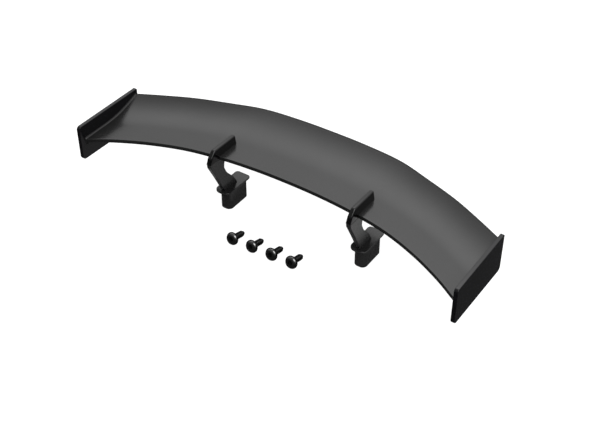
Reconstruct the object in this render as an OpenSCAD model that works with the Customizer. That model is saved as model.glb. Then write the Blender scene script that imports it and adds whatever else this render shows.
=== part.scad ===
// Racing rear wing for a 1/10-scale model car: a bowed blade between two end
// plates, carried from in front of its leading edge by two swan-neck uprights
// that stand on plug-in feet, and the four screws that hold the feet.
// Units are millimetres. +X runs along the span, +Y points rearwards, +Z is up.
// The origin lies midway between the undersides of the two feet.

/* [Blade] */
// Half of the blade's span, to the inner face of an end plate
blade_half_span = 93.2; // [80:0.1:110]
// Thickness of the blade behind its nose
blade_thickness = 1.9; // [1.2:0.1:3]
// Thickness of the blade at its trailing edge
trailing_thickness = 0.9; // [0.6:0.1:1.5]
// Height of the nose's upper side at mid span
nose_top_z = 31.7; // [25:0.1:40]
// How far the section rises from its nose to its trailing edge
section_rise = 5.3; // [2:0.1:8]
// How far the blade's tips hang below its middle
tip_droop = 0.6; // [0:0.1:3]
// Radius of the fillet on top of the blade at each end plate
top_fillet = 0.7; // [0.3:0.1:2]
// Radius of the fillet under the blade at each end plate
under_fillet = 2.0; // [0.5:0.1:3]

/* [End plates] */
// Thickness of an end plate
plate_thickness = 1.8; // [1.2:0.1:3]
// Height of an end plate's top edge
plate_top_z = 38.5; // [36:0.1:42]
// Height of an end plate's bottom edge
plate_bottom_z = 20.2; // [16:0.1:24]
// Position of an end plate's front edge
plate_front_y = -35.4; // [-40:0.1:-32]
// Position of an end plate's rear edge
plate_rear_y = 3.7; // [2:0.1:8]

/* [Uprights] */
// Distance from the centre plane to the middle of an upright
upright_x = 35.8; // [25:0.1:50]
// Thickness of an upright
upright_thickness = 2.4; // [1.6:0.1:4]
// Height of the seam between the fin above and the strut below
seam_z = 30.2; // [28:0.1:31]
// Radius of the peg that joins a fin through the blade to its strut
peg_r = 0.6; // [0.4:0.05:0.8]
// Gap around every peg and tenon
joint_gap = 0.06; // [0.05:0.01:0.15]

/* [Feet] */
// Width of a foot's flange
flange_width = 8; // [7:0.1:12]
// Reach of a foot's flange in front of its middle
flange_front = 9.6; // [8:0.1:12]
// Reach of a foot's flange behind its middle
flange_rear = 8; // [7.6:0.1:12]
// Thickness of a foot's flange
flange_thickness = 0.9; // [0.8:0.1:2]
// Width of the plug below the flange
plug_width = 5.8; // [5:0.1:8]
// Reach of the plug in front of its middle
plug_front = 7; // [6.2:0.1:8]
// Reach of the plug behind its middle
plug_rear = 6.5; // [6.2:0.1:8]
// Height of the plug, from its underside to the flange
plug_height = 10; // [8:0.1:14]
// Radius of a pilot hole for a mounting screw
pilot_r = 1.25; // [1.1:0.05:1.4]
// Depth of a pilot hole
pilot_depth = 7; // [5:0.1:7]
// Distance between the two pilot holes of one foot
pilot_spacing = 8; // [6:0.1:9]

/* [Screws] */
// Radius of a screw's head
head_r = 2.9; // [2.6:0.05:3.2]
// Height of a screw's head
head_height = 1.7; // [1.4:0.1:2]
// Outer radius of the screw thread
thread_r = 1.42; // [1.3:0.01:1.5]
// Radius of the core below the thread
core_r = 1.08; // [0.9:0.01:1.2]
// Length of the threaded shank
shank_length = 8; // [6:0.1:10]
// Distance between neighbouring thread turns
thread_pitch = 0.95; // [0.8:0.05:1.2]
// Width of the hex socket across its corners
socket_width = 2.3; // [1.8:0.05:2.6]
// Distance between neighbouring screws on the table
screw_spacing = 10.1; // [8:0.1:12]

/* [Hidden] */
$fn = 48;
eps = 0.01;

// Plan of the half blade: distance from mid span, leading edge and trailing edge.
blade_plan = [
    [0, -8.3, 27.5],
    [18, -8.8, 27.1],
    [36, -10.6, 25.3],
    [52, -13.7, 20.5],
    [68, -19.3, 15.0],
    [82, -26.1, 8.6],
    [93.2, -32.9, 3.0],
];
plan_last = len(blade_plan) - 1;

span_steps = 17;       // sections from mid span to each tip
fillet_steps = 4;      // extra sections across the fillet at each tip
nose_steps = 4;        // points round each half of the nose
chord_steps = 9;       // points along each side behind the nose

plate_inner_x = blade_half_span;
upright_top_z = 36.3;
peg_y = -9.2;          // the peg stands just behind the blade's nose
peg_top_z = 33.4;
peg_bottom_z = 27.6;
housing_depth = 0.6;   // how far the blade's ends are let into the end plates
tenon_front_y = -5.6;
tenon_rear_y = -0.6;
tenon_depth = 2.6;
tenon_thickness = 1.4;
foot_top_z = plug_height + flange_thickness;

// Slope of one column of the plan at a row, level at mid span.
function plan_slope(i, col) =
    i == 0 ? 0 :
    let (a = blade_plan[i - 1], b = blade_plan[min(i + 1, plan_last)])
    (b[col] - a[col]) / (b[0] - a[0]);

// Smooth curve through one column of the plan.
function plan_curve(x, col) =
    let (
        d = min(abs(x), blade_half_span),
        i = max([for (k = [0:plan_last - 1]) if (blade_plan[k][0] <= d) k]),
        a = blade_plan[i],
        b = blade_plan[i + 1],
        w = b[0] - a[0],
        t = (d - a[0]) / w
    )
    a[col] * (2*t*t*t - 3*t*t + 1) + b[col] * (3*t*t - 2*t*t*t)
    + plan_slope(i, col) * w * (t*t*t - 2*t*t + t)
    + plan_slope(i + 1, col) * w * (t*t*t - t*t);

function nose_y(x) = plan_curve(x, 1);
function trailing_y(x) = plan_curve(x, 2);

// The section runs almost level for nearly half the chord, then sweeps up more
// and more steeply to the trailing edge.
function rise(s) = section_rise * (0.06*s + 0.94*pow(max(s - 0.36, 0) / 0.64, 2));
function droop(x) = tip_droop * pow(x / blade_half_span, 2);
function thickness_at(s) = blade_thickness + (trailing_thickness - blade_thickness)*s;
function middle_z(x, s) = nose_top_z - droop(x) + rise(s) - thickness_at(s)/2;

// Extra height of a fillet of radius r against the end plate.
function fillet_height(x, r) =
    let (d = min(max(abs(x) - (blade_half_span - r), 0), r))
    r - sqrt(max(r*r - d*d, 0));

nose_depth = 0.6;       // the nose is a flat face between two tight corners
nose_squareness = 0.5;
chord_samples = [
    for (i = [0:nose_steps]) ["nose", 90*i/nose_steps],
    for (i = [1:chord_steps]) ["chord", i/chord_steps]
];
sample_count = len(chord_samples);

// One point of a section: side is 1 on top and -1 below. Beyond the inner face
// of an end plate the section stays as it is at that face.
function section_point(position, sample, side) =
    let (
        x = min(max(position, -blade_half_span), blade_half_span),
        y0 = nose_y(x),
        chord = trailing_y(x) - y0,
        in_nose = sample[0] == "nose",
        first = nose_depth / chord,
        back = in_nose ? 1 - pow(cos(sample[1]), nose_squareness) : 1,
        share = in_nose ? pow(sin(sample[1]), nose_squareness) : 1,
        s = in_nose ? first*back : first + (1 - first)*sample[1],
        corner = s > 0.999 ? 0.25 : 0,
        r = side > 0 ? top_fillet : under_fillet
    )
    [
        position, y0 + chord*s,
        middle_z(x, s) + side*(share*(thickness_at(s)/2 + fillet_height(x, r)) - corner)
    ];

// One closed section: over the top to the trailing edge, back underneath.
function section(x) = concat(
    [for (i = [0:sample_count - 1]) section_point(x, chord_samples[i], 1)],
    [for (i = [sample_count - 1:-1:1]) section_point(x, chord_samples[i], -1)]
);

span_positions = let (
    plain = blade_half_span - under_fillet,
    right = concat(
        [for (i = [1:span_steps]) plain*i/span_steps],
        [for (i = [1:fillet_steps]) plain + under_fillet*sin(90*i/fillet_steps)],
        [blade_half_span + housing_depth]
    ),
    n = len(right)
) concat([for (i = [n - 1:-1:0]) -right[i]], [0], right);

// Skin over a row of closed sections that all have the same odd number of points:
// the nose, then as many on top as below.
module loft(sections) {
    n = len(sections[0]);
    m = len(sections);
    points = [for (s = sections) each s];
    sides = [
        for (j = [0:m - 2], i = [0:n - 1])
            let (a = j*n + i, b = j*n + (i + 1) % n)
            each [[a, b, b + n], [a, b + n, a + n]]
    ];
    // A cap joins each point on top to the one below it, in a strip of triangles.
    cap = concat([[0, 1, n - 1]], [
        for (i = [1:(n - 3)/2])
            each [[i, i + 1, n - i - 1], [i, n - i - 1, n - i]]
    ]);
    first_cap = [for (t = cap) [t[2], t[1], t[0]]];
    last_cap = [for (t = cap) [for (k = t) k + (m - 1)*n]];
    polyhedron(points, concat(first_cap, sides, last_cap), convexity = 6);
}

module blade_skin() {
    loft([for (x = span_positions) section(x)]);
}

// The few sections of the blade's skin that lie round one upright.
module skin_near(upright) {
    loft([for (x = span_positions) if (abs(x - upright) < 12) section(x)]);
}

function unit(v) = v / norm(v);

// Corner p between points a and b, rounded with radius r.
function rounded_corner(a, p, b, r, steps) =
    let (
        u = unit(a - p),
        v = unit(b - p),
        half = acos(u*v) / 2,
        c = p + unit(u + v) * r / sin(half),
        start = p + u * r / tan(half),
        finish = p + v * r / tan(half),
        a0 = atan2(start[1] - c[1], start[0] - c[0]),
        a1 = atan2(finish[1] - c[1], finish[0] - c[0]),
        turn = (a1 - a0 + 540) % 360 - 180
    )
    [for (i = [0:steps]) c + r*[cos(a0 + turn*i/steps), sin(a0 + turn*i/steps)]];

// Outline from corners given as [first, second, radius].
function rounded_outline(corners, steps = 6) =
    let (n = len(corners))
    [for (i = [0:n - 1])
        let (
            p = [corners[i][0], corners[i][1]],
            q = corners[(i + n - 1) % n],
            t = corners[(i + 1) % n]
        )
        each corners[i][2] > 0
            ? rounded_corner([q[0], q[1]], p, [t[0], t[1]], corners[i][2], steps)
            : [p]
    ];

// A plate parallel to YZ, drawn as an outline of [y, z], centred on x.
module side_plate(outline, x, thickness) {
    translate([x - thickness/2, 0, 0])
        rotate([90, 0, 90])
            linear_extrude(thickness) polygon(outline);
}

// An upright block with rounded corners, larger at the front than at the rear.
module rounded_block(width, front, rear, front_r, rear_r, z, height) {
    translate([0, 0, z])
        linear_extrude(height)
            polygon(rounded_outline([
                [-width/2, -front, front_r],
                [width/2, -front, front_r],
                [width/2, rear, rear_r],
                [-width/2, rear, rear_r],
            ]));
}

module upright_peg(r, bottom, top) {
    translate([0, peg_y, bottom]) cylinder(r = r, h = top - bottom, $fn = 24);
}

// The blade's end, as the end plate takes it in.
module blade_end(side) {
    loft([for (x = span_positions) if (side*x > blade_half_span - 1) section(x)]);
}

module peg_hole(side) {
    translate([side*upright_x, 0, 0])
        upright_peg(peg_r + joint_gap, peg_bottom_z, peg_top_z + 2);
}

module end_plate(side) {
    difference() {
        side_plate(
            rounded_outline([
                [plate_front_y, plate_bottom_z + 0.6, 2],
                [plate_rear_y, plate_bottom_z, 2],
                [plate_rear_y, plate_top_z, 0.6],
                [plate_front_y, plate_top_z - 0.2, 1.6],
            ]),
            side*(plate_inner_x + plate_thickness/2), plate_thickness
        );
        blade_end(side);
    }
}

module fin(side) {
    difference() {
        union() {
            side_plate(
                rounded_outline([
                    [-16.8, seam_z, 0],
                    [-10.2, seam_z, 0],
                    [-9.6, seam_z + 0.6, 0],
                    [2.3, seam_z + 0.6, 0],
                    [1.7, upright_top_z - 0.4, 0.6],
                    [-13.2, upright_top_z, 1.6],
                    [-16.2, 33.2, 2.4],
                ]),
                side*upright_x, upright_thickness
            );
        }
        skin_near(side*upright_x);
    }
    translate([side*upright_x, 0, 0])
        upright_peg(peg_r, peg_bottom_z + 0.2, peg_top_z);
}

module strut(side) {
    difference() {
        union() {
            side_plate(
                rounded_outline([
                    [-16.8, seam_z, 0],
                    [-16.6, 28.4, 2],
                    [-12.6, 20.8, 12],
                    [-7.6, foot_top_z, 0],
                    [1.4, foot_top_z, 0],
                    [-1.2, 15.2, 3],
                    [-5.6, 20.2, 4],
                    [-7.4, 24, 3],
                    [-6.4, seam_z, 0],
                ]),
                side*upright_x, upright_thickness
            );
            translate([
                side*upright_x - tenon_thickness/2, tenon_front_y, foot_top_z - tenon_depth
            ])
                cube([tenon_thickness, tenon_rear_y - tenon_front_y, tenon_depth + 1]);
        }
        skin_near(side*upright_x);
        peg_hole(side);
    }
}

module foot(side) {
    translate([side*upright_x, 0, 0])
        difference() {
            union() {
                rounded_block(flange_width, flange_front, flange_rear, 3, 1.6,
                              plug_height, flange_thickness);
                rounded_block(plug_width, plug_front, plug_rear, 2.4, 1.8,
                              0, plug_height + eps);
            }
            for (y = [-pilot_spacing/2, pilot_spacing/2])
                translate([0, y, -eps]) cylinder(r = pilot_r, h = pilot_depth + eps);
            translate([
                -tenon_thickness/2 - joint_gap, tenon_front_y - joint_gap,
                foot_top_z - tenon_depth - joint_gap
            ])
                cube([
                    tenon_thickness + 2*joint_gap,
                    tenon_rear_y - tenon_front_y + 2*joint_gap,
                    tenon_depth + 1
                ]);
        }
}

module wing_blade() {
    color([0.06, 0.06, 0.065])
        difference() {
            blade_skin();
            for (side = [-1, 1]) peg_hole(side);
        }
}

module left_end_plate() { color([0.05, 0.05, 0.055]) end_plate(-1); }
module right_end_plate() { color([0.05, 0.05, 0.055]) end_plate(1); }
module left_fin() { color([0.05, 0.05, 0.055]) fin(-1); }
module right_fin() { color([0.05, 0.05, 0.055]) fin(1); }
module left_strut() { color([0.05, 0.05, 0.055]) strut(-1); }
module right_strut() { color([0.05, 0.05, 0.055]) strut(1); }
module left_foot() { color([0.05, 0.05, 0.055]) foot(-1); }
module right_foot() { color([0.05, 0.05, 0.055]) foot(1); }

// A self-tapping screw along +Z with the face of its head at the origin.
turns = floor((shank_length - 1.6) / thread_pitch);
module screw() {
    difference() {
        rotate_extrude()
            polygon(concat(
                [[0, 0], [head_r - 1, 0], [head_r - 0.45, 0.2]],
                [[head_r - 0.12, 0.55], [head_r, 1], [head_r, head_height]],
                [[core_r, head_height]],
                [for (i = [0:turns - 1])
                    let (z = head_height + 0.5 + i*thread_pitch)
                    each [[core_r, z], [thread_r, z + 0.3], [thread_r, z + 0.38],
                          [core_r, z + 0.68]]],
                [[core_r, head_height + shank_length - 1.2]],
                [[0.8, head_height + shank_length - 0.4]],
                [[0.45, head_height + shank_length], [0, head_height + shank_length]]
            ));
        translate([0, 0, -eps]) cylinder(r = socket_width/2, h = 1.05, $fn = 6);
    }
}

// A screw lies on the table on the rim of its head and on its last thread turn.
last_crest = 0.88 + (turns - 1)*thread_pitch;
lean = atan((head_r - thread_r) / last_crest);
module laid_screw(index) {
    color([0.07, 0.07, 0.075])
        translate([-17.9 + index*screw_spacing, -26.4 + 0.5*index,
                   head_r*cos(lean) + head_height*sin(lean)])
            rotate([-90 - lean, 0, 0]) rotate([0, 0, 17*index]) screw();
}

module mounting_screw_1() { laid_screw(0); }
module mounting_screw_2() { laid_screw(1); }
module mounting_screw_3() { laid_screw(2); }
module mounting_screw_4() { laid_screw(3); }

wing_blade();
left_end_plate();
right_end_plate();
left_fin();
right_fin();
left_strut();
right_strut();
left_foot();
right_foot();
mounting_screw_1();
mounting_screw_2();
mounting_screw_3();
mounting_screw_4();
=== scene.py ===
"""Looks of the model-car rear wing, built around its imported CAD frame."""

import math

import bmesh
import bpy
import numpy as np
from mathutils import Matrix, Vector


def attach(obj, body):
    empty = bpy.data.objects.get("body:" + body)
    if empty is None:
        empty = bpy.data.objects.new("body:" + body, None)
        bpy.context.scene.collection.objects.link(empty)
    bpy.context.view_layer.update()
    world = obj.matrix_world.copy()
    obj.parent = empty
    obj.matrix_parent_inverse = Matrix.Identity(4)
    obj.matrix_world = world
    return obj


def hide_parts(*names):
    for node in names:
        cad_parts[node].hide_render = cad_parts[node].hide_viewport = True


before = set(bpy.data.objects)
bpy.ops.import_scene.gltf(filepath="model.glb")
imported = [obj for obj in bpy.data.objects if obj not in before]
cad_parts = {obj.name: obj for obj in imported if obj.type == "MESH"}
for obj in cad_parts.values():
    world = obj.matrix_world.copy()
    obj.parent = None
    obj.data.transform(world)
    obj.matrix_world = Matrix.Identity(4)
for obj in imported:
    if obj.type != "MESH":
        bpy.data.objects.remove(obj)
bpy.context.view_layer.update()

MM = 0.001

# ---------------------------------------------------------------- dimensions, mm
# The blade ends at the plates' inner faces, plus what is let into them.
HALF_SPAN, HOUSED_END = 93.2, 0.3
BLADE_THICK, TRAILING_THICK = 1.9, 0.9
NOSE_TOP, SECTION_RISE, TIP_DROOP = 31.7, 5.3, 0.6
# The section is almost level over this share of the chord, and has this share of
# its rise spread evenly over the whole chord.
LEVEL_SHARE, EVEN_RISE = 0.36, 0.06
TOP_FILLET, UNDER_FILLET = 0.7, 2.0
NOSE_DEPTH, NOSE_SQUARENESS, TAIL_DEPTH = 0.6, 0.5, 0.9
# Plan of the half blade: distance from mid span, leading edge, trailing edge.
PLAN = np.array([
    [0, -8.3, 27.5], [18, -8.8, 27.1], [36, -10.6, 25.3], [52, -13.7, 20.5],
    [68, -19.3, 15.0], [82, -26.1, 8.6], [HALF_SPAN, -32.9, 3.0],
])
PLATE_THICK = 1.8
UPRIGHT_X, UPRIGHT_THICK, SEAM_Z = 35.8, 2.4, 30.2
PLUG_HEIGHT, FOOT_TOP = 10.0, 10.9
HOLE_R, HOLE_DEPTH, HOLE_SPACING = 1.25, 7, 8
HEAD_R, HEAD_H, SOCKET = 3.0, 1.7, 2.3
THREAD_R, CORE_R, SHANK, PITCH = 1.47, 1.08, 8.0, 0.95
# The row of screws: its first place, and the step to the next one.
SCREW_X, SCREW_Y, SCREW_STEP, SCREW_DRIFT = -17.9, -26.4, 10.1, 0.5

ARC_STEPS = 8


# ---------------------------------------------------------------- mesh helpers
def new_object(name, verts, faces, scale=MM):
    """A smooth-shaded mesh object from points in millimetres."""
    mesh = bpy.data.meshes.new(name)
    mesh.from_pydata([tuple(np.asarray(v) * scale) for v in verts], [], faces)
    bm = bmesh.new()
    bm.from_mesh(mesh)
    bmesh.ops.remove_doubles(bm, verts=bm.verts, dist=1e-7)
    bmesh.ops.recalc_face_normals(bm, faces=bm.faces)
    bm.to_mesh(mesh)
    bm.free()
    mesh.shade_smooth()
    obj = bpy.data.objects.new(name, mesh)
    bpy.context.scene.collection.objects.link(obj)
    return obj


def skin(rings):
    """Points and faces of a solid over a row of rings with equal point counts."""
    n = len(rings[0])
    verts = [p for ring in rings for p in ring]
    faces = []
    for j in range(len(rings) - 1):
        for i in range(n):
            a, b = j * n + i, j * n + (i + 1) % n
            faces.append((a, b, b + n, a + n))
    faces.append(tuple(reversed(range(n))))
    faces.append(tuple(range(len(verts) - n, len(verts))))
    return verts, faces


def apply_modifiers(obj):
    """Bakes an object's modifiers into its mesh."""
    graph = bpy.context.evaluated_depsgraph_get()
    mesh = bpy.data.meshes.new_from_object(obj.evaluated_get(graph))
    obj.modifiers.clear()
    obj.data = mesh


def round_edges(obj, width):
    """Rounds every sharp edge, keeping flat faces flat in shading."""
    bevel = obj.modifiers.new("bevel", "BEVEL")
    bevel.width = width * MM
    bevel.segments = 4
    bevel.limit_method = "ANGLE"
    bevel.angle_limit = math.radians(38)
    bevel.harden_normals = True
    bevel.use_clamp_overlap = True
    apply_modifiers(obj)


def rounded_corner(a, p, b, radius):
    """Arc that rounds the corner p between the points a and b."""
    a, p, b = (np.asarray(v, float) for v in (a, p, b))
    u = (a - p) / np.linalg.norm(a - p)
    v = (b - p) / np.linalg.norm(b - p)
    half = math.acos(np.clip(u @ v, -1, 1)) / 2
    w = (u + v) / np.linalg.norm(u + v)
    centre = p + w * radius / math.sin(half)
    start, finish = p + u * radius / math.tan(half), p + v * radius / math.tan(half)
    a0 = math.atan2(*(start - centre)[::-1])
    a1 = math.atan2(*(finish - centre)[::-1])
    turn = (a1 - a0 + 3 * math.pi) % (2 * math.pi) - math.pi
    return [
        centre + radius * np.array([math.cos(a0 + turn * t), math.sin(a0 + turn * t)])
        for t in np.linspace(0, 1, ARC_STEPS + 1)
    ]


def rounded_outline(corners):
    """Closed outline from corners given as (first, second, radius)."""
    out = []
    for i, (y, z, r) in enumerate(corners):
        q, t = corners[i - 1][:2], corners[(i + 1) % len(corners)][:2]
        out += rounded_corner(q, (y, z), t, r) if r else [np.array([y, z])]
    return out


def side_plate(name, outline, x, thickness):
    """A plate parallel to YZ over an outline of (y, z), centred on x."""
    rings = [
        [(x + side * thickness / 2, y, z) for y, z in outline] for side in (-1, 1)
    ]
    return new_object(name, *skin(rings))


# ---------------------------------------------------------------- blade
def plan_curve(x, col):
    """Smooth curve through a column of PLAN: 1 the leading edge, 2 the trailing."""
    d = min(abs(x), HALF_SPAN)
    i = int(np.clip(np.searchsorted(PLAN[:, 0], d, side="right") - 1, 0, len(PLAN) - 2))

    def slope(k):
        if k == 0:
            return 0.0
        low, high = PLAN[k - 1], PLAN[min(k + 1, len(PLAN) - 1)]
        return (high[col] - low[col]) / (high[0] - low[0])

    width = PLAN[i + 1, 0] - PLAN[i, 0]
    t = (d - PLAN[i, 0]) / width
    return (
        PLAN[i, col] * (2 * t**3 - 3 * t**2 + 1)
        + PLAN[i + 1, col] * (3 * t**2 - 2 * t**3)
        + slope(i) * width * (t**3 - 2 * t**2 + t)
        + slope(i + 1) * width * (t**3 - t**2)
    )


def thickness_at(s):
    """Thickness at the share s of the chord."""
    return BLADE_THICK + (TRAILING_THICK - BLADE_THICK) * s


def middle_z(x, s):
    """Height of the section's middle line at the share s of the chord."""
    swept = (max(s - LEVEL_SHARE, 0) / (1 - LEVEL_SHARE)) ** 2
    rise = SECTION_RISE * (EVEN_RISE * s + (1 - EVEN_RISE) * swept)
    return NOSE_TOP - TIP_DROOP * (x / HALF_SPAN) ** 2 + rise - thickness_at(s) / 2


def fillet(x, radius):
    """How far a fillet against the end plate lifts the surface at x."""
    d = min(max(abs(x) - (HALF_SPAN - radius), 0), radius)
    return radius - math.sqrt(max(radius * radius - d * d, 0))


def blade_section(position, nose_steps=9, chord_steps=46):
    """Closed section: nose, over the top to the trailing edge, back underneath."""
    x = float(np.clip(position, -HALF_SPAN, HALF_SPAN))
    nose, tail = plan_curve(x, 1), plan_curve(x, 2)
    chord = tail - nose
    first = NOSE_DEPTH / chord
    samples = []
    for a in np.linspace(0, math.pi / 2, nose_steps + 1):
        back = 1 - max(math.cos(a), 0) ** NOSE_SQUARENESS
        samples.append((first * back, math.sin(a) ** NOSE_SQUARENESS))
    last = 1 - TAIL_DEPTH / chord
    for t in np.linspace(0, 1, chord_steps + 1)[1:]:
        samples.append((first + (last - first) * t, 1.0))
    for a in np.linspace(math.pi / 2, 0, 8)[1:-1]:
        samples.append((last + TAIL_DEPTH / chord * math.cos(a), math.sin(a)))

    def point(s, share, side):
        # The fillet fades out round the nose, where there is no plate to meet.
        r = TOP_FILLET if side > 0 else UNDER_FILLET
        height = share * (thickness_at(s) / 2 + fillet(x, r))
        return (position, nose + chord * s, middle_z(x, s) + side * height)

    top = [point(s, share, 1) for s, share in samples]
    bottom = [point(s, share, -1) for s, share in samples[1:]]
    tip = (position, tail, middle_z(x, 1.0))
    return top + [tip] + bottom[::-1]


def build_blade():
    """The blade, with stations crowded into the fillets at its ends."""
    inner = HALF_SPAN - UNDER_FILLET
    half = list(np.linspace(0, inner, 121)[1:])
    half += [inner + UNDER_FILLET * math.sin(a) for a in np.linspace(0, math.pi / 2, 15)[1:]]
    half.append(HALF_SPAN + HOUSED_END)
    stations = [-x for x in reversed(half)] + [0.0] + half
    blade = new_object("blade", *skin([blade_section(x) for x in stations]))
    # The rounded trailing edge has a darker, weaker-reflecting material of its own: painted
    # shade standing in for the dark line along the edge.
    for face in blade.data.polygons:
        if face.center.y / MM > plan_curve(face.center.x / MM, 2) - TAIL_DEPTH:
            face.material_index = 1
    return blade


# ---------------------------------------------------------------- end plates
def build_end_plate(name, side):
    """A flat end plate with rounded corners."""
    outline = rounded_outline([
        (-35.4, 20.8, 2), (3.7, 20.2, 2), (3.7, 38.5, 0.6), (-35.4, 38.3, 1.6),
    ])
    x = side * (HALF_SPAN + PLATE_THICK / 2)
    plate = side_plate(name, outline, x, PLATE_THICK)
    round_edges(plate, 0.25)
    return plate


# ---------------------------------------------------------------- uprights
def build_fin(name, side):
    """The upper half of a swan neck, on top of the blade and round its nose."""
    x = side * UPRIGHT_X
    nose, chord = plan_curve(x, 1), plan_curve(x, 2) - plan_curve(x, 1)
    floor_line = []
    for y in np.linspace(nose + 0.7, 2.0, 16):
        s = (y - nose) / chord
        floor_line.append((y, middle_z(x, s) + thickness_at(s) / 2 - 0.35, 0))
    outline = np.array(rounded_outline(
        [(-16.8, SEAM_Z + 0.02, 0), (nose + 0.3, SEAM_Z + 0.02, 0)] + floor_line
        + [(1.7, 36.0, 0.8), (-13.2, 36.3, 1.8), (-16.2, 33.2, 2.6)]
    ))
    along = np.roll(outline, -1, axis=0) - np.roll(outline, 1, axis=0)
    outward = np.stack([along[:, 1], -along[:, 0]], axis=1)
    outward /= np.linalg.norm(outward, axis=1)[:, None]
    # Its back and nose are well rounded, and the edges at its joints only broken.
    joint_z = np.interp(outline[:, 0], *np.array(floor_line).T[:2])
    joint_z = np.where(outline[:, 0] < nose + 0.5, SEAM_Z, joint_z)
    radius = 0.75 * np.clip((outline[:, 1] - joint_z) / 1.6, 0.12, 1)
    rings = []
    quarter = np.linspace(0, math.pi / 2, 9)
    for sign, a in [(1, a) for a in quarter] + [(-1, a) for a in reversed(quarter)]:
        edge = outline - outward * (radius * (1 - math.sin(a)))[:, None]
        across = sign * (UPRIGHT_THICK / 2 - radius * (1 - math.cos(a)))
        rings.append([(x + dx, y, z) for dx, (y, z) in zip(across, edge)])
    fin = new_object(name, *skin(rings))
    fin.data.set_sharp_from_angle(angle=math.radians(40))
    # Behind its nose the fin narrows towards its top.
    for vertex in fin.data.vertices:
        y, z = vertex.co.y / MM, vertex.co.z / MM
        narrow = 0.15 * np.clip((z - 31) / 5, 0, 1) * np.clip((y + 15) / 5, 0, 1)
        vertex.co.x = (x + (vertex.co.x / MM - x) * (1 - narrow)) * MM
    return fin


def build_strut(name, side):
    """The lower half of a swan neck, from the seam down to the foot."""
    outline = rounded_outline([
        (-16.8, SEAM_Z, 0), (-16.6, 28.4, 2), (-12.6, 20.8, 12), (-7.6, FOOT_TOP - 0.2, 0),
        (1.5, FOOT_TOP - 0.2, 0), (-1.2, 15.2, 3), (-5.6, 20.2, 4), (-7.4, 24, 3),
        (-6.4, SEAM_Z, 0),
    ])
    strut = side_plate(name, outline, side * UPRIGHT_X, UPRIGHT_THICK)
    round_edges(strut, 0.35)
    return strut


def block_ring(half_width, front, rear, front_r, rear_r, x, z):
    """A level ring round a block with rounded corners, centred on x."""
    corners = [
        (-half_width, -front, front_r), (half_width, -front, front_r),
        (half_width, rear, rear_r), (-half_width, rear, rear_r),
    ]
    return [(x + px, py, z) for px, py in rounded_outline(corners)]


def cut_pilot_hole(obj, x, y):
    """Takes a pilot hole out of the underside of a foot."""
    angles = np.linspace(0, 2 * math.pi, 33)[:-1]
    rings = [
        [(x + HOLE_R * math.cos(a), y + HOLE_R * math.sin(a), z) for a in angles]
        for z in (-1, HOLE_DEPTH)
    ]
    tool = new_object("hole_tool", *skin(rings))
    cut = obj.modifiers.new("hole", "BOOLEAN")
    cut.operation, cut.solver, cut.object = "DIFFERENCE", "EXACT", tool
    apply_modifiers(obj)
    bpy.data.objects.remove(tool)


def build_foot(name, side):
    """A flange with a plug under it, and two pilot holes in the plug's underside."""
    x = side * UPRIGHT_X
    plug = dict(half_width=3.0, front=7.1, rear=6.8, front_r=2.4, rear_r=1.8)
    flange = dict(half_width=4.0, front=9.6, rear=8.0, front_r=3.0, rear_r=1.6)

    def ring(shape, inset, z):
        return block_ring(
            shape["half_width"] - inset, shape["front"] - inset, shape["rear"] - inset,
            shape["front_r"] - inset, shape["rear_r"] - inset, x, z,
        )

    # From the underside up: rounded base, plug, root under the flange, flange.
    base_r, root_r, edge_r, inner_step = 0.3, 0.25, 0.2, 0.15
    quarter = [(math.sin(a), math.cos(a)) for a in np.linspace(0, math.pi / 2, 5)]
    rings = [ring(plug, base_r + inner_step, 0)]
    for a in np.linspace(0, math.pi / 2, 6):
        rings.append(ring(plug, base_r * (1 - math.sin(a)), base_r * (1 - math.cos(a))))
    rings.append(ring(plug, 0, PLUG_HEIGHT / 2))
    for sin, cos in quarter:
        rings.append(ring(plug, -root_r * (1 - cos), PLUG_HEIGHT - root_r * (1 - sin)))
    for sin, cos in quarter:
        rings.append(ring(flange, edge_r * (1 - sin), PLUG_HEIGHT + edge_r * (1 - cos)))
    for sin, cos in quarter:
        rings.append(ring(flange, edge_r * (1 - cos), FOOT_TOP - edge_r * (1 - sin)))
    rings.append(ring(flange, edge_r + inner_step, FOOT_TOP))
    foot = new_object(name, *skin(rings))
    for y in (-HOLE_SPACING / 2, HOLE_SPACING / 2):
        cut_pilot_hole(foot, x, y)
    foot.data.shade_smooth()
    foot.data.set_sharp_from_angle(angle=math.radians(40))
    return foot


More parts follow.
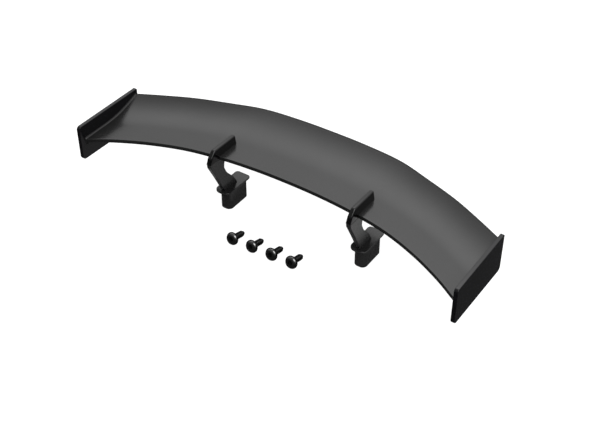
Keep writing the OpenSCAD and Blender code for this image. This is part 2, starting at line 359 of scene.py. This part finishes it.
# ---------------------------------------------------------------- screws
def build_screw(name, index):
    """A self-tapping screw with a hex socket, laid on its head's rim and its tip."""
    count = 48
    angles = np.linspace(0, 2 * math.pi, count + 1)[:-1]

    def hexagon(across):
        sector = (angles + math.pi / 6) % (math.pi / 3) - math.pi / 6
        return across / 2 * math.cos(math.pi / 6) / np.cos(sector)

    def ring(radii, z):
        radii = np.broadcast_to(radii, count)
        return [(r * math.cos(a), r * math.sin(a), z) for r, a in zip(radii, angles)]

    rings = [ring(0.05, 1.25), ring(hexagon(SOCKET - 0.35), 1.1), ring(hexagon(SOCKET), 1.05)]
    rings += [ring(hexagon(SOCKET), 0.16), ring(hexagon(SOCKET + 0.2), 0.02)]
    head = [(1.45, 0.0), (1.75, 0.01), (2.1, 0.08), (2.4, 0.23), (2.63, 0.45),
            (2.8, 0.75), (HEAD_R, 1.1), (HEAD_R, 1.5), (2.84, 1.63), (2.72, HEAD_H),
            (2.2, HEAD_H), (1.5, HEAD_H), (1.25, HEAD_H + 0.08), (1.12, HEAD_H + 0.22)]
    rings += [ring(r, z) for r, z in head]
    end = HEAD_H + SHANK
    thread_start, thread_end = HEAD_H + 0.45, end - 0.9
    for z in np.arange(HEAD_H + 0.3, end - 0.9, PITCH / 16):
        phase = ((z - thread_start) / PITCH - angles / (2 * math.pi)) % 1.0
        ridge = np.clip(1 - np.abs(phase - 0.5) / 0.33, 0, 1) ** 0.9
        fade = min(1, max(0, (z - thread_start) / 0.5)) * min(
            1, max(0, (thread_end - z) / 0.7)
        )
        rings.append(ring(CORE_R + (THREAD_R - CORE_R) * ridge * fade, z))
    tip = [(1.0, 0.75), (0.9, 0.5), (0.75, 0.25), (0.52, 0.06), (0.35, 0), (0.05, 0)]
    rings += [ring(r, end - back) for r, back in tip]
    screw = new_object(name, *skin(rings))
    screw.data.set_sharp_from_angle(angle=math.radians(50))
    # Its second material is painted shade in the socket and at the thread's roots, and its
    # third is the head's steel, lightened as painted light.
    for face in screw.data.polygons:
        x, y, z = face.center / MM
        if math.hypot(x, y) < SOCKET / 2 + 0.1 and 0.06 < z < 1.3:
            face.material_index = 1
        elif z < 0.9:
            face.material_index = 2
        elif z > HEAD_H + 0.3 and math.hypot(x, y) < CORE_R + 0.24:
            face.material_index = 1

    # It lies on the rim of its head and the crest of its last full turn.
    turns = math.floor((SHANK - 1.6) / PITCH)
    lean = math.atan((HEAD_R - THREAD_R) / (0.88 + (turns - 1) * PITCH))
    place = Matrix.Translation(Vector((
        SCREW_X + index * SCREW_STEP, SCREW_Y + index * SCREW_DRIFT,
        HEAD_R * math.cos(lean) + HEAD_H * math.sin(lean),
    )) * MM)
    tilt = Matrix.Rotation(-math.pi / 2 - lean, 4, "X")
    spin = Matrix.Rotation(math.radians(17 * index), 4, "Z")
    screw.data.transform(place @ tilt @ spin)
    # The helix touches the table a little earlier or later than a plain ring would.
    lowest = min(vertex.co.z for vertex in screw.data.vertices)
    screw.data.transform(Matrix.Translation((0, 0, -lowest)))
    return screw


# ---------------------------------------------------------------- materials
def link(tree, out_node, out_name, in_node, in_name):
    tree.links.new(out_node.outputs[out_name], in_node.inputs[in_name])


def node(tree, kind, **inputs):
    made = tree.nodes.new(kind)
    for key, value in inputs.items():
        made.inputs[key.replace("_", " ")].default_value = value
    return made


def grey(level):
    return (level, level, level)


def new_material(name, specular):
    """A material, its node tree, its shader and a texture coordinate node."""
    mat = bpy.data.materials.new(name)
    mat.use_nodes = True
    shader = mat.node_tree.nodes["Principled BSDF"]
    shader.inputs["Specular IOR Level"].default_value = specular
    return mat, mat.node_tree, shader, mat.node_tree.nodes.new("ShaderNodeTexCoord")


def noise(tree, coords, scale, detail, roughness):
    made = node(tree, "ShaderNodeTexNoise", Scale=scale, Detail=detail, Roughness=roughness)
    link(tree, coords, "Object", made, "Vector")
    return made


def bump(tree, height, strength, distance):
    made = node(tree, "ShaderNodeBump", Strength=strength, Distance=distance)
    link(tree, height, "Fac", made, "Height")
    return made


def tint(tree, pattern, start, end, dark, light):
    """Base colour from dark to light as a pattern goes from start to end."""
    ramp = tree.nodes.new("ShaderNodeValToRGB")
    stops = ramp.color_ramp.elements
    stops[0].position, stops[0].color = start, (*dark, 1)
    stops[1].position, stops[1].color = end, (*light, 1)
    link(tree, pattern, "Fac", ramp, "Fac")
    link(tree, ramp, "Color", tree.nodes["Principled BSDF"], "Base Color")


def moulded_plastic(name, dark, light, roughness, specular, grain):
    """Black injection-moulded plastic with a fine eroded grain from its tool."""
    mat, tree, shader, coords = new_material(name, specular)
    tint(tree, noise(tree, coords, 38, 4, 0.55), 0.3, 0.7, dark, light)

    sheen = node(tree, "ShaderNodeMapRange", From_Min=0.3, From_Max=0.7,
                 To_Min=roughness - 0.02, To_Max=roughness + 0.02)
    link(tree, noise(tree, coords, 160, 5, 0.6), "Fac", sheen, "Value")
    link(tree, sheen, "Result", shader, "Roughness")

    fine = bump(tree, noise(tree, coords, 9000, 2, 0.5), grain, 0.00002)
    swell = bump(tree, noise(tree, coords, 420, 3, 0.5), 0.25, 0.00003)
    link(tree, fine, "Normal", swell, "Normal")
    link(tree, swell, "Normal", shader, "Normal")
    return mat


def black_oxide(name, dark, light, metallic, roughness, specular=0.5):
    """Oil-blackened steel with a mottled finish."""
    mat, tree, shader, coords = new_material(name, specular)
    shader.inputs["Metallic"].default_value = metallic
    mottle = noise(tree, coords, 1400, 4, 0.6)
    tint(tree, mottle, 0.35, 0.75, dark, light)

    worn = node(tree, "ShaderNodeMapRange", To_Min=roughness - 0.06, To_Max=roughness + 0.06)
    link(tree, mottle, "Fac", worn, "Value")
    link(tree, worn, "Result", shader, "Roughness")
    link(tree, bump(tree, mottle, 0.3, 0.00001), "Normal", shader, "Normal")
    return mat


# ---------------------------------------------------------------- the object
blade_plastic = moulded_plastic(
    "blade_plastic", grey(0.007), grey(0.010), roughness=0.22, specular=0.5, grain=0.25)
# Painted shade: a darker copy of the blade's plastic, for the trailing edge's dark line.
trailing_edge_painted_shade = moulded_plastic(
    "trailing_edge_painted_shade", grey(0.001), grey(0.002), roughness=0.20, specular=0.25, grain=0.05)
plate_plastic = moulded_plastic(
    "plate_plastic", (0.001, 0.001, 0.0015), (0.003, 0.003, 0.0040),
    roughness=0.15, specular=0.43, grain=0.04)
fin_plastic = moulded_plastic(
    "fin_plastic", grey(0.001), grey(0.002), roughness=0.14, specular=0.45, grain=0.1)
strut_plastic = moulded_plastic(
    "strut_plastic", grey(0.012), grey(0.018), roughness=0.22, specular=0.5, grain=0.3)
foot_plastic = moulded_plastic(
    "foot_plastic", grey(0.009), grey(0.016), roughness=0.20, specular=0.5, grain=0.3)
screw_steel = black_oxide(
    "screw_steel", grey(0.015), grey(0.032), metallic=1.0, roughness=0.18)
# Painted light: the head is a much lighter copy of the shank's steel, standing in for the pale
# floor it would reflect.
head_steel_painted_light = black_oxide(
    "head_steel_painted_light", grey(0.10), grey(0.18), metallic=1.0, roughness=0.20)
# Painted shade inside the socket and between the threads: a dark, dull stand-in material.
painted_socket_shade = black_oxide(
    "painted_socket_shade", grey(0.002), grey(0.005), metallic=0.0, roughness=0.6, specular=0.1)


def finish_piece(obj, materials, body, cad_node):
    """Gives a piece its materials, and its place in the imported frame."""
    for material in materials:
        obj.data.materials.append(material)
    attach(obj, body)
    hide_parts(cad_node)


finish_piece(build_blade(), [blade_plastic, trailing_edge_painted_shade], "wing", "wing_blade")
for label, side in (("left", -1), ("right", 1)):
    finish_piece(build_end_plate(label + "_plate", side), [plate_plastic], "wing",
                 label + "_end_plate")
    finish_piece(build_fin(label + "_upper_upright", side), [fin_plastic], "wing",
                 label + "_fin")
    finish_piece(build_strut(label + "_lower_upright", side), [strut_plastic], "wing",
                 label + "_strut")
    finish_piece(build_foot(label + "_plug_foot", side), [foot_plastic], "wing",
                 label + "_foot")
for index in range(4):
    number = str(index + 1)
    finish_piece(build_screw("screw_" + number, index), [screw_steel, painted_socket_shade, head_steel_painted_light],
                 "screw_" + number, "mounting_screw_" + number)


# ---------------------------------------------------------------- studio
SKY_DARK, SKY_PALE = 0.06, 1.0
# Glows in the sky: direction, cosine at which one ends, falloff and brightness.
GLOWS = [
    ((-0.28, 0.45, 0.85), 0.85, 2.5, 2.0),
    ((0.50, -0.35, 0.78), 0.92, 1.0, 7.0),
]


def build_floor():
    """A white floor, lit mostly from within so that it shows no shadows' edges."""
    half = 3.0
    floor = new_object(
        "floor", [(-half, -half, 0), (half, -half, 0), (half, half, 0), (-half, half, 0)],
        [(0, 1, 2, 3)], scale=1)
    # Just under the table plane, so that no face lies in it.
    floor.location.z = -0.00002
    mat = bpy.data.materials.new("pale_floor")
    mat.use_nodes = True
    shader = mat.node_tree.nodes["Principled BSDF"]
    shader.inputs["Base Color"].default_value = (0.2, 0.2, 0.2, 1)
    shader.inputs["Roughness"].default_value = 0.9
    shader.inputs["Specular IOR Level"].default_value = 0.1
    shader.inputs["Emission Color"].default_value = (1, 1, 1, 1)
    shader.inputs["Emission Strength"].default_value = 0.92
    mat.cycles.emission_sampling = "NONE"
    floor.data.materials.append(mat)
    # The studio's dark surroundings, and not the floor, show in the plastic.
    floor.visible_glossy = False


def softbox(name, location, target, size, power):
    """A square lamp that faces its target."""
    data = bpy.data.lights.new(name, "AREA")
    data.shape = "SQUARE"
    data.size = size
    data.energy = power
    light = bpy.data.objects.new(name, data)
    bpy.context.scene.collection.objects.link(light)
    light.location = location
    direction = Vector(target) - light.location
    light.rotation_euler = direction.to_track_quat("-Z", "Y").to_euler()
    return light


def floor_glow(name, x, y, width, depth, power):
    """A patch of lit floor, as the sides of the uprights see it."""
    glow = softbox(name, (x, y, 0.0003), (x, y, 1), width, power)
    glow.data.shape = "RECTANGLE"
    glow.data.size_y = depth
    glow.visible_camera = False
    glow.visible_diffuse = False


def math_node(tree, operation, *values):
    """Output of a Math node on numbers and other nodes' outputs."""
    made = tree.nodes.new("ShaderNodeMath")
    made.operation = operation
    for socket, value in zip(made.inputs, values):
        if isinstance(value, (int, float)):
            socket.default_value = value
        else:
            tree.links.new(value, socket)
    return made.outputs["Value"]


def build_world():
    """A grey studio: dark below and paler above, with two bright glows high up."""
    world = bpy.data.worlds.new("studio")
    bpy.context.scene.world = world
    world.use_nodes = True
    tree = world.node_tree
    coords = tree.nodes.new("ShaderNodeTexCoord")
    split = tree.nodes.new("ShaderNodeSeparateXYZ")
    link(tree, coords, "Generated", split, "Vector")
    # The sky pales from the horizon up, and less towards the front.
    pale = []
    for axis, start, end, least in (("Z", -0.05, 0.45, 0), ("Y", -0.6, 0.35, 0.3)):
        ramp = node(tree, "ShaderNodeMapRange", From_Min=start, From_Max=end, To_Min=least)
        ramp.interpolation_type = "SMOOTHSTEP"
        link(tree, split, axis, ramp, "Value")
        pale.append(ramp.outputs["Result"])
    sky = node(tree, "ShaderNodeMapRange", To_Min=SKY_DARK, To_Max=SKY_PALE)
    tree.links.new(math_node(tree, "MULTIPLY", *pale), sky.inputs["Value"])
    total = sky.outputs["Result"]
    for direction, end, falloff, level in GLOWS:
        facing = tree.nodes.new("ShaderNodeVectorMath")
        facing.operation = "DOT_PRODUCT"
        facing.inputs[1].default_value = Vector(direction).normalized()
        link(tree, coords, "Generated", facing, 0)
        lobe = node(tree, "ShaderNodeMapRange", From_Min=end)
        link(tree, facing, "Value", lobe, "Value")
        glow = math_node(tree, "POWER", lobe.outputs["Result"], falloff)
        total = math_node(tree, "MULTIPLY_ADD", glow, level, total)
    # Behind the object the studio is a plain white backdrop.
    path = tree.nodes.new("ShaderNodeLightPath")
    shown = tree.nodes.new("ShaderNodeMix")
    shown.inputs["B"].default_value = 1
    link(tree, path, "Is Camera Ray", shown, "Factor")
    tree.links.new(total, shown.inputs["A"])
    background = tree.nodes["Background"]
    background.inputs["Color"].default_value = (1, 1, 1, 1)
    link(tree, shown, "Result", background, "Strength")


def build_camera():
    """A camera in front and to the right, looking down on the wing."""
    data = bpy.data.cameras.new("camera")
    data.sensor_width = 36
    data.lens = 66.17
    data.clip_start = 0.01
    camera = bpy.data.objects.new("camera", data)
    bpy.context.scene.collection.objects.link(camera)
    camera.location = (0.21374, -0.31434, 0.31517)
    back = Vector((0.436, -0.6436, 0.629)).normalized()
    camera.rotation_euler = (-back).to_track_quat("-Z", "Y").to_euler()
    bpy.context.scene.camera = camera


build_floor()
build_world()
# A broad lamp overhead keeps the floor white and doesn't show in the plastic.
softbox("floor_softbox", (0, 0, 1.6), (0, 0, 0), 2.0, 15).visible_glossy = False
floor_glow("plate_floor_glow", -0.063, -0.005, 0.030, 0.040, 0.0008)
floor_glow("left_floor_glow", -0.010, 0.008, 0.035, 0.045, 0.0009)
floor_glow("right_floor_glow", 0.065, 0.008, 0.035, 0.045, 0.0028)
build_camera()
bpy.context.scene.view_settings.view_transform = "Standard"
